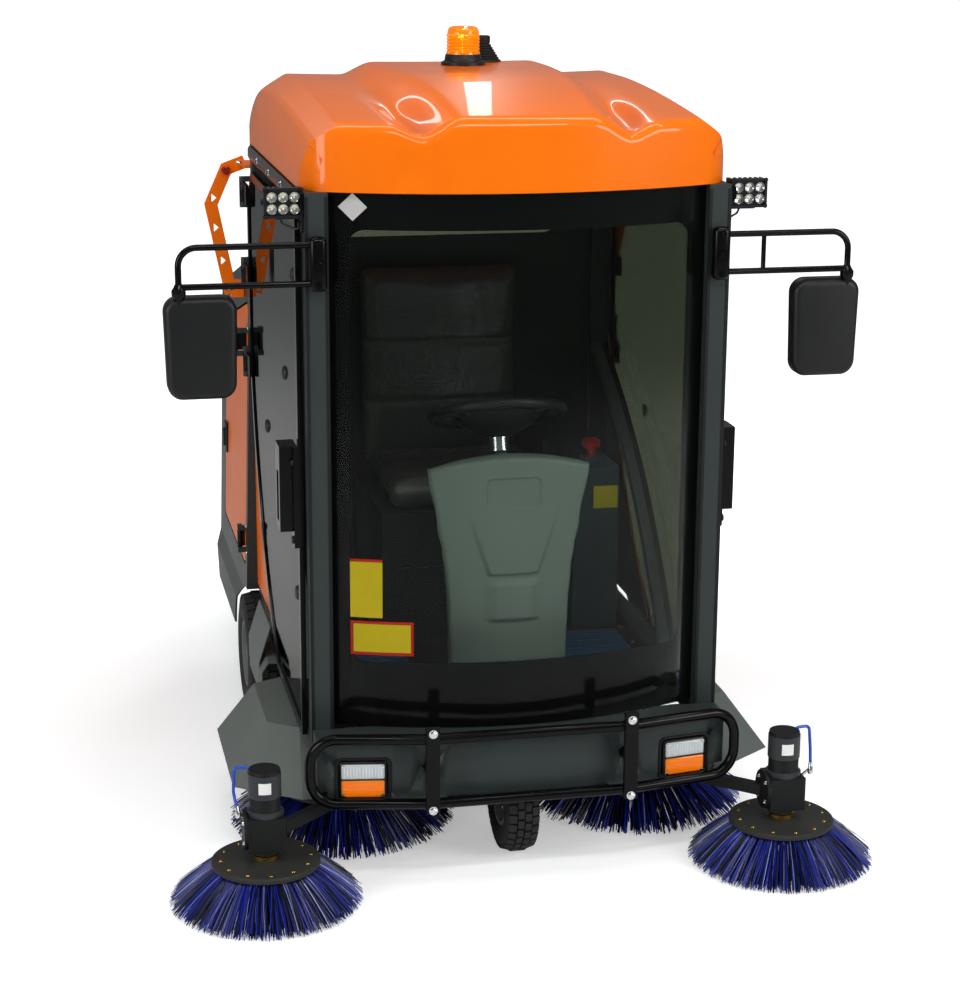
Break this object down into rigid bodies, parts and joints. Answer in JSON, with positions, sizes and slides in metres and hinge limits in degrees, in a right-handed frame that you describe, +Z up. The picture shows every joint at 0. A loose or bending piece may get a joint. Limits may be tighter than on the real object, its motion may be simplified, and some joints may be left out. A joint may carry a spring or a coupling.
{
  "type": "ride-on sweeper with cab",
  "caption": "Compact ride-on street sweeper with a closed glazed cab, side brushes on arms, a cross-wise roller brush and a lidded rear body.",
  "frame": {"origin": "on the ground, under the middle of the overall length and width", "axes": "+Z up, -Y forwards, +X towards the machine's left side"},
  "size_m": [1.88, 2.45, 2.1413],
  "materials": {
    "orange_moulding": "gloss",
    "orange_paint": "satin",
    "slate_paint": "satin",
    "slate_moulding": "satin",
    "black_steel": "gloss",
    "black_plastic": "matte",
    "black_band": "gloss",
    "clear_glass": "polished",
    "tinted_glass": "polished",
    "lamp_lens": "gloss",
    "amber_lens": "gloss",
    "light_housing": "satin",
    "tyre_rubber": "matte",
    "rim_steel": "satin",
    "bristles": "matte",
    "seat_vinyl": "satin",
    "battery_case": "matte",
    "bin_plastic": "matte"
  },
  "bodies": {
    "machine": {"battery": "battery_case", "beacon": "amber_lens", "braces": "orange_paint", "cable_boot": "black_plastic", "brush_fenders": "slate_paint", "bull_bar": "black_steel", "cab_floor": "black_steel", "cab_frame": "slate_paint", "chassis": "black_steel", "front_panel": "slate_paint", "headlamps": "lamp_lens", "hopper": "bin_plastic", "mirror_arms": "black_steel", "mirror_heads": "black_plastic", "quarter_panels": "orange_paint", "rear_axle": "black_steel", "rear_body": "slate_paint", "rear_wall": "slate_paint", "rear_window": "tinted_glass", "roller_housing": "black_steel", "roof": "orange_moulding", "seat_base": "slate_paint", "seat_pads": "seat_vinyl", "side_skirts": "slate_paint", "steering_column": "black_plastic", "steering_cowl": "slate_moulding", "tail_lamps": "lamp_lens", "under_brush_mounts": "black_steel", "windscreen": "clear_glass", "windscreen_band": "black_band", "work_lights": "light_housing"},
    "front_fork": {"front_fork": "black_steel"},
    "front_wheel": {"front_tyre": "tyre_rubber", "front_rim": "rim_steel"},
    "steering_wheel": {"steering_wheel": "black_plastic"},
    "hood": {"hood": "orange_paint"},
    "roller": {"roller_brush": "bristles"},
    "rear_wheel_left": {"rear_tyre_left": "tyre_rubber", "rear_rim_left": "rim_steel"},
    "door_left": {"door_left": "black_steel", "door_glass_left": "tinted_glass"},
    "side_lid_left": {"side_lid_left": "orange_paint"},
    "brush_arm_left": {"brush_arm_left": "black_steel"},
    "front_brush_left": {"front_brush_left": "bristles"},
    "under_brush_left": {"under_brush_left": "bristles"},
    "rear_wheel_right": {"rear_tyre_right": "tyre_rubber", "rear_rim_right": "rim_steel"},
    "door_right": {"door_right": "black_steel", "door_glass_right": "tinted_glass"},
    "side_lid_right": {"side_lid_right": "orange_paint"},
    "brush_arm_right": {"brush_arm_right": "black_steel"},
    "front_brush_right": {"front_brush_right": "bristles"},
    "under_brush_right": {"under_brush_right": "bristles"}
  },
  "joints": [
    {"name": "steer", "type": "hinge", "parent": "machine", "child": "front_fork", "pos_m": [0, -0.767, 0.35], "axis": [0, 0, 1], "range_deg": [-60, 60]},
    {"name": "front_wheel_spin", "type": "hinge", "parent": "front_fork", "child": "front_wheel", "pos_m": [0, -0.767, 0.16], "axis": [1, 0, 0], "continuous": true},
    {"name": "steering_wheel_turn", "type": "hinge", "parent": "machine", "child": "steering_wheel", "pos_m": [0, -0.585, 1.035], "axis": [0, 0.3746, 0.9272], "range_deg": [-400, 400]},
    {"name": "hood_open", "type": "hinge", "parent": "machine", "child": "hood", "pos_m": [0, 0.437, 1.44105], "axis": [1, 0, 0], "range_deg": [0, 60]},
    {"name": "roller_spin", "type": "hinge", "parent": "machine", "child": "roller", "pos_m": [0, 0.005, 0.154], "axis": [1, 0, 0], "continuous": true},
    {"name": "rear_wheel_left_spin", "type": "hinge", "parent": "machine", "child": "rear_wheel_left", "pos_m": [0.538, 0.405, 0.195], "axis": [1, 0, 0], "continuous": true},
    {"name": "door_left_open", "type": "hinge", "parent": "machine", "child": "door_left", "pos_m": [0.571, 0.381, 1.1], "axis": [0, 0, 1], "range_deg": [0, 75]},
    {"name": "side_lid_left_open", "type": "hinge", "parent": "machine", "child": "side_lid_left", "pos_m": [0.595, 0.449, 0.9], "axis": [0, 0, -1], "range_deg": [0, 90]},
    {"name": "brush_arm_left_lift", "type": "hinge", "parent": "machine", "child": "brush_arm_left", "pos_m": [0.44, -0.825, 0.19], "axis": [0, -1, 0], "range_deg": [0, 15]},
    {"name": "front_brush_left_spin", "type": "hinge", "parent": "brush_arm_left", "child": "front_brush_left", "pos_m": [0.69, -0.975, 0.13], "axis": [0, 0, 1], "continuous": true},
    {"name": "under_brush_left_spin", "type": "hinge", "parent": "machine", "child": "under_brush_left", "pos_m": [0.42, -0.47, 0.13], "axis": [0, 0, 1], "continuous": true},
    {"name": "rear_wheel_right_spin", "type": "hinge", "parent": "machine", "child": "rear_wheel_right", "pos_m": [-0.538, 0.405, 0.195], "axis": [1, 0, 0], "continuous": true},
    {"name": "door_right_open", "type": "hinge", "parent": "machine", "child": "door_right", "pos_m": [-0.571, 0.381, 1.1], "axis": [0, 0, -1], "range_deg": [0, 75]},
    {"name": "side_lid_right_open", "type": "hinge", "parent": "machine", "child": "side_lid_right", "pos_m": [-0.595, 0.449, 0.9], "axis": [0, 0, 1], "range_deg": [0, 90]},
    {"name": "brush_arm_right_lift", "type": "hinge", "parent": "machine", "child": "brush_arm_right", "pos_m": [-0.44, -0.825, 0.19], "axis": [0, 1, 0], "range_deg": [0, 15]},
    {"name": "front_brush_right_spin", "type": "hinge", "parent": "brush_arm_right", "child": "front_brush_right", "pos_m": [-0.69, -0.975, 0.13], "axis": [0, 0, 1], "continuous": true},
    {"name": "under_brush_right_spin", "type": "hinge", "parent": "machine", "child": "under_brush_right", "pos_m": [-0.42, -0.47, 0.13], "axis": [0, 0, 1], "continuous": true}
  ],
  "couplings": [
    {"joint": "steering_wheel_turn", "follows": "steer", "ratio": 6}
  ]
}
